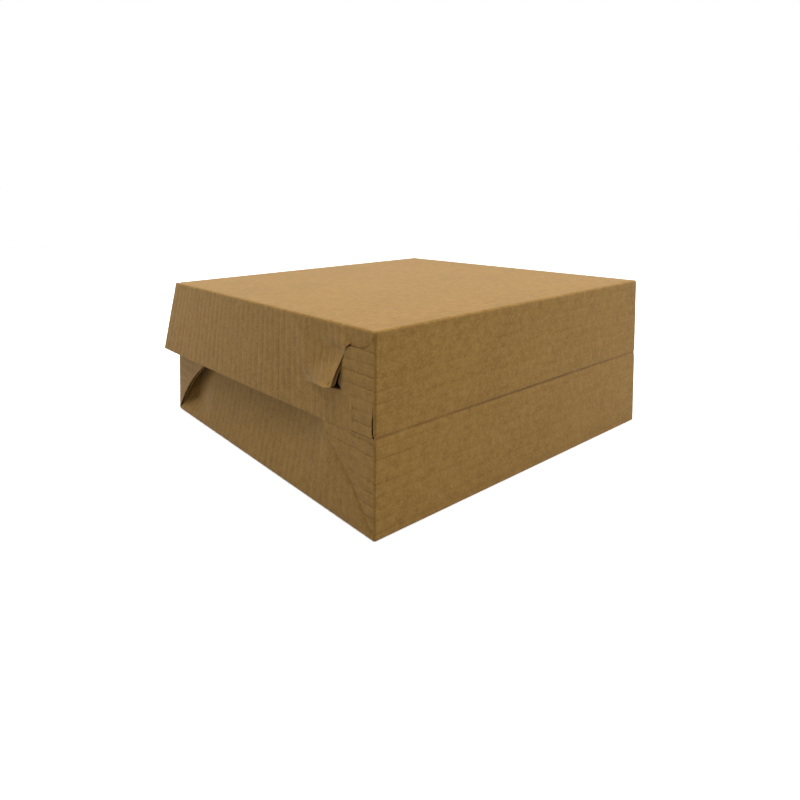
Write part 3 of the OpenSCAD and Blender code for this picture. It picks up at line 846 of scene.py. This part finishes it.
def cross_wall(name, body, cad, half, height, turn, seed, tabbed=True, hem=0.0):
    """A wall across the box; turn puts across, in and up where the wall stands

    A tabbed wall has its foot and its ends folded. A hem leaves room for the hinge crease, and the wall dips to it.
    """
    f = Fold()
    weak, strong, fine_from = 0.2, 0.75, half - 27

    def calm(s, t):
        foot = np.clip((s + f.extra) / 2.0, 0, 1)
        return foot * np.clip((height - s) / 0.6 + 0.15, 0, 1) * np.clip((half - np.abs(t)) / 1.5, 0.25, 1)

    corners = ((-half, weak), (half, strong)) if tabbed else ()
    paper = Paper(first_crest(height, 0, half=True), seed, corners=corners, reach=26, strength=0.6, calm=calm)
    paper.seam = half + f.extra if tabbed else None

    def place(s, t, w):
        if hem:
            w = w + 0.22 * np.clip(1 - (height - s) / 2.4, 0, 1) ** 2
        return turn(*f.cross(t, s, w, half))

    def straight_place(s, t, w):
        return turn(t, w + 0 * s, s)

    straight = evenly(-(half - f.radius), half - f.radius, 1.6)
    bend = evenly(0, f.arc, 0.22)[1:]
    across = np.concatenate([straight, half - f.radius + bend])
    across = np.unique(np.round(np.concatenate([-across, across]), 6))
    if tabbed:
        near = evenly(fine_from, half - f.radius, 0.8)
        middle, ends = np.abs(across) < fine_from, np.abs(across) > half - f.radius
        across = np.unique(np.round(np.concatenate([across[middle], -near, near, across[ends]]), 6))
    rows = flute_places(f.radius, height - hem, paper)
    foot = np.linspace(-f.extra + 0.12, f.radius, 8)[:-1] if tabbed else []
    liner = grid_patch(np.concatenate([foot, rows]), across)
    inner_limit = half - f.board - (0.12 if tabbed else 0.1)
    lower = f.board + 0.05
    inner = grid_patch(flute_places(lower, height, paper, 4), evenly(-inner_limit, inner_limit, 2.5))
    middle = grid_patch(flute_places(lower, height, paper), evenly(-inner_limit, inner_limit, 8))
    piece = Board()
    piece.sheet(liner, place, paper.outer, paper.under, wear=paper.crush_amount, hollow_shade=paper.hollow_shade, crest=paper.crest)
    piece.sheet(inner, straight_place, paper.inner_face, paper.back_face)
    piece.sheet(middle, straight_place, lambda s, t: paper.wave(s, 0 * t), lambda s, t: paper.wave_back(s, 0 * t),
                finish=2, edge=2)
    return piece.make(name, 1, body, [cad])


class BOX_OT_fold_cross_walls(bpy.types.Operator):
    """Fold the back and front walls of the tray and the lid"""

    bl_idname = "box.fold_cross_walls"
    bl_label = "Fold back and front walls"

    def execute(self, context):
        f = Fold()
        stack = lambda x, y, z: np.stack([x, y, z], -1)
        hem = 0.35
        cross_wall("tray_back_wall", TRAY, "base_back_wall", f.half_w, f.base_h - f.turn_gap / 2,
                   lambda x, d, h: stack(x, f.half_d - d, h), 11, hem=hem)
        cross_wall("tray_front_wall", TRAY, "base_front_wall", f.half_w, f.rim_h,
                   lambda x, d, h: stack(x, d - f.half_d, h), 12)
        cross_wall("lid_back_panel", LID, "lid_back_wall", f.half_w, f.lid_h - f.turn_gap / 2,
                   lambda x, d, h: stack(x, f.half_d - d, f.top_z - h), 13, hem=hem)
        cross_wall("lid_front_panel", FLAP, "lid_front_wall", f.front_half, f.front_h,
                   lambda x, d, h: f.lid(x, f.lid_l - d, h), 14, tabbed=False)
        return {"FINISHED"}


class BOX_OT_bend_side_walls(bpy.types.Operator):
    """Bend the tray's leaning side walls and the lid's flared side walls with their lock slits"""

    bl_idname = "box.bend_side_walls"
    bl_label = "Bend side walls"

    def execute(self, context):
        f = Fold()
        for word, side in SIDES:
            self.tray_wall(f, word, side)
            self.lid_wall(f, word, side)
        return {"FINISHED"}

    def tray_wall(self, f, word, side):
        start, end = f.inside, f.depth - f.inside
        paper = Paper(first_crest(end - start, start), 21 + side, strength=1.0,
                      calm=lambda s, t: np.clip((t + f.extra) / 2.5, 0, 1))
        columns = flute_places(f.lap_start, f.depth - f.lap_start, paper)
        rows = np.concatenate([np.linspace(-f.extra, f.radius, 7)[:-1], evenly(f.radius, f.rim_h, 1.2)])
        piece = Board()
        inner = grid_patch(flute_places(start, end, paper, 4), evenly(f.board + 0.05, f.rim_h, 2))
        middle = grid_patch(flute_places(start, end, paper), evenly(f.board + 0.05, f.rim_h, 3))
        panel_layers(piece, paper, f.tray_side, grid_patch(columns, rows), inner, middle)
        piece.make(f"tray_{word}_wall", side, TRAY, [f"base_{word}_wall"])

    def lid_wall(self, f, word, side):
        start, end = f.inside, f.lid_l
        paper = Paper(first_crest(end - start, start), 31 + side, strength=1.15,
                      calm=lambda s, t: np.clip((t + f.extra) / 2.5, 0, 1))
        lower = [(x, float(f.lid_side_h(np.array(x)))) for x in (end, f.tab_l, start)]
        window = math.acos((f.tip_bend - f.slit_u + f.arc_w) / (f.arc_w - 0.6))
        hole = [*f.slit_curve(0, f.arc_top, 0).tolist(), f.slit_end, (f.tip_bend, f.slit_v + f.kerf),
                *f.slit_curve(0.6, window, f.arc_top - 0.04, 14).tolist()]
        fold_rows = np.linspace(-f.extra, f.radius, 7)[1:-1]
        rows = np.concatenate([fold_rows, evenly(f.radius, f.side_back_h, 1.2)])
        liner = cut_patch([(f.lap_start, -f.extra), (end, -f.extra), *lower, (f.lap_start, lower[-1][1])], [hole],
                          flute_places(f.lap_start, end, paper)[1:-1], rows, 0.5)
        low = f.board + 0.05
        outline_in = [(start, low), (end, low), *lower]
        inner = cut_patch(outline_in, [hole], flute_places(start, end, paper, 4)[1:-1],
                          evenly(low, f.side_back_h, 2)[1:], 0.8)
        middle = cut_patch(outline_in, [hole], flute_places(start, end, paper)[1:-1],
                           evenly(low, f.side_back_h, 3)[1:], 0.8)
        piece = Board()
        panel_layers(piece, paper, f.lid_side, liner, inner, middle)
        piece.make(f"lid_{word}_side", side, LID, [f"lid_{word}_wall"])


def tab_piece(name, side, body, cad, outlines, place, paper, fine_step=0.9):
    """A tab with its flutes running along it, from two outlines of s up or down and t along

    The first outline is the outer liner's. The second one is for the inner liner and the fluting.
    """
    skin, rest = (np.asarray(outline, float) for outline in outlines)
    low, high = skin.min(0), skin.max(0)
    liner = cut_patch(skin, [], flute_places(low[0], high[0], paper, 10)[1:-1],
                      evenly(low[1], high[1], fine_step)[1:-1], 0.45)
    low, high = rest.min(0), rest.max(0)
    inner = cut_patch(rest, [], flute_places(low[0], high[0], paper, 4)[1:-1],
                      evenly(low[1], high[1], 2)[1:-1], 0.8)
    middle = cut_patch(rest, [], flute_places(low[0], high[0], paper)[1:-1],
                       evenly(low[1], high[1], 3)[1:-1], 0.8)
    piece = Board()
    panel_layers(piece, paper, place, liner, inner, middle)
    return piece.make(name, side, body, [cad])


class BOX_OT_fold_tray_tabs(bpy.types.Operator):
    """Fold the tray's four corner tabs round its side walls"""

    bl_idname = "box.fold_tray_tabs"
    bl_label = "Fold tray tabs"

    def execute(self, context):
        f = Fold()
        q = np.linspace(0, 1, 20)
        hollow = f.tab_hollow * np.sin(math.pi * q)
        foot, height = f.tab_foot
        slant = np.stack([height + (f.shoulder_h - height) * q + hollow, foot + (f.tab_l - foot) * q - hollow], -1)
        crest = first_crest(f.rim_h, 0, half=True)
        ends = (("back", 1, f.base_h - 0.2, f.rim_h + f.turn_gap), ("front", -1, f.rim_h, f.rim_h))
        for word, side in SIDES:
            for end, sign, near, far in ends:
                outlines = []
                for start in (f.lap_start, f.inside):
                    edge = [p for p in slant.tolist() if p[1] > start + 0.1]
                    outlines.append([(height, start), *edge, (far, f.tab_l), (near, start)])
                outlines[1][0] = (height + 0.5, f.inside)
                paper = Paper(crest, 41 + side + 4 * sign, corners=((f.radius, 1.0),), reach=26)
                paper.seam = f.radius
                place = lambda s, t, w, sign=sign: np.stack([f.half_w - w, sign * (f.half_d - t), s], -1)
                tab_piece(f"tray_{end}_{word}_tab", side, TRAY, f"base_{end}_{word}_tab",
                          outlines, place, paper)
        return {"FINISHED"}


class BOX_OT_fold_lock_tabs(bpy.types.Operator):
    """Fold the lid's lock tabs, with their tips bent in through the slits"""

    bl_idname = "box.fold_lock_tabs"
    bl_label = "Fold lock tabs"

    def execute(self, context):
        f = Fold()
        a = np.linspace(0, math.pi / 2, 14)
        sweep = f.lap_start + f.lock_sweep * (1 - np.cos(a))
        top = np.stack([f.lock_foot + (f.lock_top - f.lock_foot) * np.sin(a), sweep], -1)
        head = math.asin((f.slit_v - f.lock_top) / f.arc_h)
        leaves = math.radians(30)
        curve = f.slit_curve(f.kerf, head, leaves)[:, ::-1]
        bottom = f.slit_v + 0.3
        tip = [(curve[-1][0] + (bottom - curve[-1][0]) * y, curve[-1][1] + (f.lock_l - curve[-1][1]) * x)
               for x, y in ((0.32, 0.35), (0.62, 0.65), (0.85, 0.88), (1, 0.96), (0.9, 1))]
        shoulder = [(bottom + (f.neck_bottom - bottom) * y, f.neck_w + (f.tip_bend - f.neck_w) * x)
                    for x, y in ((0.75, 0.02), (0.25, 0.1), (0, 0.3))]
        # The neck comes down to the tray's tab, with a narrow slit between it and its crease
        foot = f.neck_bottom + 0.55
        bow = ((0, 0.35), (1.2, 0.72), (3.0, 0.78), (5.0, 0.58), (7.0, 0.34), (8.8, 0.0))
        slit = [(foot - up, u) for up, u in bow]
        outlines = []
        for start in (f.lap_start, f.inside):
            lower = 2.2 if start > f.lap_start else 0
            above = [(p[0] + lower, p[1]) for p in top.tolist() if p[1] >= start]
            corner = [(v, start + u) for v, u in slit]
            outlines.append([*above, *curve.tolist(), *tip, *shoulder, (foot + 0.3, f.neck_w), *corner])
        for word, side in SIDES:
            paper = Paper(first_crest(f.neck_bottom, 0, half=True), 51 + side, corners=((f.radius, 1.0),), reach=22)
            paper.seam = f.radius
            tab_piece(f"lid_{word}_lock", side, LID, f"lid_{word}_lock_tab",
                      outlines, f.lock_tab, paper)
        return {"FINISHED"}


class BOX_OT_fold_ears(bpy.types.Operator):
    """Fold the rounded ears of the lid's front wall"""

    bl_idname = "box.fold_ears"
    bl_label = "Fold front ears"

    def execute(self, context):
        f = Fold()
        below = f.board + f.turn_gap
        a = np.linspace(math.asin(below / f.ear_r), math.acos(f.inside / f.ear_r), 24)
        outline = [(below, f.inside), *np.stack([f.ear_r * np.sin(a), f.ear_r * np.cos(a)], -1).tolist()]
        place = lambda s, t, w: f.lid(f.front_half - w, f.lid_l - t, s)
        for word, side in SIDES:
            paper = Paper(1.65, 61 + side, corners=((f.inside, 1.0),), reach=18)
            tab_piece(f"lid_front_{word}_flap", side, FLAP, f"lid_front_{word}_ear",
                      (outline, outline), place, paper, 1.2)
        return {"FINISHED"}


class BOX_OT_press_creases(bpy.types.Operator):
    """Press the hinge crease and the front crease, where the outer liner bends as the lid and its front wall turn"""

    bl_idname = "box.press_creases"
    bl_label = "Press creases"

    def execute(self, context):
        f = Fold()
        self.hinge(f)
        self.front(f)
        return {"FINISHED"}

    def hinge(self, f):
        reach, half = 0.52, f.half_w - 0.35
        rows = np.linspace(-reach, reach, 15)
        across = evenly(-half, half, 1.0)

        def uneven(t):
            return 0.74 + 0.18 * np.sin(t * 0.055 + 1.9) + 0.08 * np.sin(t * 0.41 + 1.0)

        def place(s, t, w):
            c = np.maximum(np.abs(t) - (f.half_w - f.radius), 0)
            corner = f.radius - np.sqrt(np.maximum(f.radius**2 - c**2, 0))
            groove = 0.18 + 0.24 * np.clip(1 - np.abs(s) / reach, 0, 1) ** 1.2 * uneven(t)
            return np.stack([t, f.half_d - w - groove - corner, f.base_h + s], -1)

        piece = Board()
        # The hinge crease's dark band is painted shade, darkest along the middle of its groove
        piece.sheet(grid_patch(rows, across), place, lambda s, t: 0 * s, lambda s, t: 0 * s + f.paper,
                    hinge_shade=lambda s, t: (0.30 + 0.55 * hump(s, 0.35)) * uneven(t))
        crease = piece.make("hinge_crease", 1, None, [])
        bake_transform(crease)

    def front(self, f):
        half = f.front_half - 0.1
        start = f.lid_l - f.board - f.turn_gap - 0.5
        flat_part = f.lid_l - f.radius - start
        on_lid = np.linspace(-f.extra - flat_part, -f.extra, 5)[:-1]
        rows = np.concatenate([on_lid, np.linspace(-f.extra, f.radius + 0.5, 12)])

        def place(s, t, w):
            on_top = s < -f.extra
            d, h = f.fold(np.maximum(s, -f.extra), w)
            d = np.where(on_top, f.radius + (-f.extra - s), d)
            return f.lid(t, f.lid_l - d, h)

        piece = Board()
        piece.sheet(grid_patch(rows, evenly(-half, half, 1.5)), place, lambda s, t: 0 * s, lambda s, t: 0 * s + f.paper)
        crease = piece.make("front_crease", 1, None, [])
        low = f.lid(np.array([0.0]), np.array([start + 0.2]), np.array([0.0]))[0] * MM
        end = f.lid(np.array([0.0]), np.array([f.lid_l]), np.array([f.radius + 0.3]))[0] * MM
        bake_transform(crease)


# Stage


# Where the photograph was taken from, solved from the box's visible corners
CAMERA_PLACE = (0.16522, 0.19351, 0.09577)
CAMERA_LOOK = Vector((-0.675, -0.736, -0.053))
CAMERA_UP = Vector((-0.029, -0.046, 0.999))
LENS_SHIFT = (-0.034, -0.2365)


def aim(thing, towards):
    thing.rotation_mode = "QUATERNION"
    thing.rotation_quaternion = (Vector(towards) - thing.location).to_track_quat("-Z", "Y")


def softbox(name, place, towards, size, power):
    lamp = bpy.data.lights.new(name, "AREA")
    lamp.shape = "RECTANGLE"
    lamp.size, lamp.size_y = size
    lamp.energy = power
    thing = bpy.data.objects.new(name, lamp)
    thing.location = place
    bpy.context.scene.collection.objects.link(thing)
    aim(thing, towards)
    return thing


class BOX_OT_set_stage(bpy.types.Operator):
    """Lay the pale floor, hang the soft lamps and stand the camera where the photograph was taken"""

    bl_idname = "box.set_stage"
    bl_label = "Set the stage"

    def execute(self, context):
        settings = context.scene.stage_settings
        self.floor(settings)
        self.lamps(settings)
        self.camera(settings)
        context.scene.view_settings.view_transform = "Standard"
        return {"FINISHED"}

    def floor(self, settings):
        mesh = bpy.data.meshes.new("floor")
        reach, corners = 0.75, 96
        turns = [2 * math.pi * i / corners for i in range(corners)]
        mesh.from_pydata([(reach * math.cos(a), reach * math.sin(a), 0) for a in turns], [], [tuple(range(corners))])
        floor = bpy.data.objects.new("floor", mesh)
        floor.location.z = -0.00005
        bpy.context.scene.collection.objects.link(floor)
        material = bpy.data.materials.new("Pale floor")
        material.use_nodes = True
        tree = material.node_tree
        tree.nodes.clear()
        seen = self.seen(tree)
        paper = node(tree, "ShaderNodeBsdfDiffuse")
        paper.inputs["Color"].default_value = (*settings.floor, 1)
        white = node(tree, "ShaderNodeBsdfDiffuse")
        white.inputs["Color"].default_value = (1, 1, 1, 1)
        glow = node(tree, "ShaderNodeEmission")
        glow.inputs["Strength"].default_value = 0.55
        lit = node(tree, "ShaderNodeAddShader")
        tree.links.new(white.outputs[0], lit.inputs[0])
        tree.links.new(glow.outputs[0], lit.inputs[1])
        both = node(tree, "ShaderNodeMixShader")
        tree.links.new(seen, both.inputs[0])
        tree.links.new(paper.outputs[0], both.inputs[1])
        tree.links.new(lit.outputs[0], both.inputs[2])
        out = node(tree, "ShaderNodeOutputMaterial")
        tree.links.new(both.outputs[0], out.inputs[0])
        mesh.materials.append(material)

    def seen(self, tree):
        path = node(tree, "ShaderNodeLightPath")
        shown = math_node(tree, "MAXIMUM", path.outputs["Is Camera Ray"], path.outputs["Is Glossy Ray"])
        return math_node(tree, "MAXIMUM", shown, path.outputs["Is Transmission Ray"])

    def lamps(self, settings):
        softbox("overhead softbox", (0.05, -0.10, 0.95), (0, 0, 0), (1.1, 1.1), settings.overhead)
        softbox("left lamp", (0.75, -0.60, 0.25), (0, 0, 0.03), (0.6, 0.5), settings.left)
        softbox("right lamp", (-0.70, 0.65, 0.45), (0, 0, 0.03), (0.6, 0.5), settings.right)
        world = bpy.data.worlds.new("White surroundings")
        bpy.context.scene.world = world
        world.use_nodes = True
        tree = world.node_tree
        tree.nodes.clear()
        dim = node(tree, "ShaderNodeBackground")
        dim.inputs["Color"].default_value = (1, 1, 1, 1)
        dim.inputs["Strength"].default_value = settings.sky
        white = node(tree, "ShaderNodeBackground")
        white.inputs["Color"].default_value = (1, 1, 1, 1)
        both = node(tree, "ShaderNodeMixShader")
        tree.links.new(self.seen(tree), both.inputs[0])
        tree.links.new(dim.outputs[0], both.inputs[1])
        tree.links.new(white.outputs[0], both.inputs[2])
        out = node(tree, "ShaderNodeOutputWorld")
        tree.links.new(both.outputs[0], out.inputs[0])

    def camera(self, settings):
        data = bpy.data.cameras.new("camera")
        data.lens, data.sensor_width = settings.focal, 36
        data.shift_x, data.shift_y = LENS_SHIFT
        data.clip_start, data.clip_end = 0.01, 20
        camera = bpy.data.objects.new("camera", data)
        back = -CAMERA_LOOK.normalized()
        right = CAMERA_UP.cross(back).normalized()
        up = back.cross(right)
        turn = Matrix((right, up, back)).transposed().to_4x4()
        camera.matrix_world = Matrix.Translation(CAMERA_PLACE) @ turn
        bpy.context.scene.collection.objects.link(camera)
        bpy.context.scene.camera = camera


class BOX_PT_folding(bpy.types.Panel):
    """Steps and sizes of the folding box"""

    bl_label = "Folding box"
    bl_idname = "BOX_PT_folding"
    bl_space_type = "VIEW_3D"
    bl_region_type = "UI"
    bl_category = "Folding box"

    def draw(self, context):
        scene = context.scene
        groups = (
            (scene.box_sizes, "Box"),
            (scene.board_sizes, "Board"),
            (scene.kraft_look, "Paper"),
            (scene.stage_settings, "Stage"),
        )
        for group, title in groups:
            box = self.layout.box()
            box.label(text=title)
            for name in group.__annotations__:
                box.prop(group, name)
        for step in STEPS:
            self.layout.operator(step.bl_idname)


GROUPS = {
    "box_sizes": BoxSizes,
    "board_sizes": BoardSizes,
    "kraft_look": KraftLook,
    "stage_settings": StageSettings,
}
STEPS = (
    BOX_OT_fold_level_panels,
    BOX_OT_fold_cross_walls,
    BOX_OT_bend_side_walls,
    BOX_OT_fold_tray_tabs,
    BOX_OT_fold_lock_tabs,
    BOX_OT_fold_ears,
    BOX_OT_press_creases,
    BOX_OT_set_stage,
)


def register():
    for made in (*GROUPS.values(), *STEPS, BOX_PT_folding):
        bpy.utils.register_class(made)
    for name, group in GROUPS.items():
        setattr(bpy.types.Scene, name, bpy.props.PointerProperty(type=group))


def unregister():
    for name in GROUPS:
        delattr(bpy.types.Scene, name)
    for made in reversed((*GROUPS.values(), *STEPS, BOX_PT_folding)):
        bpy.utils.unregister_class(made)


def main():
    register()
    bpy.ops.box.fold_level_panels()
    bpy.ops.box.fold_cross_walls()
    bpy.ops.box.bend_side_walls()
    bpy.ops.box.fold_tray_tabs()
    bpy.ops.box.fold_lock_tabs()
    bpy.ops.box.fold_ears()
    bpy.ops.box.press_creases()
    bpy.ops.box.set_stage()


if __name__ == "__main__":
    main()
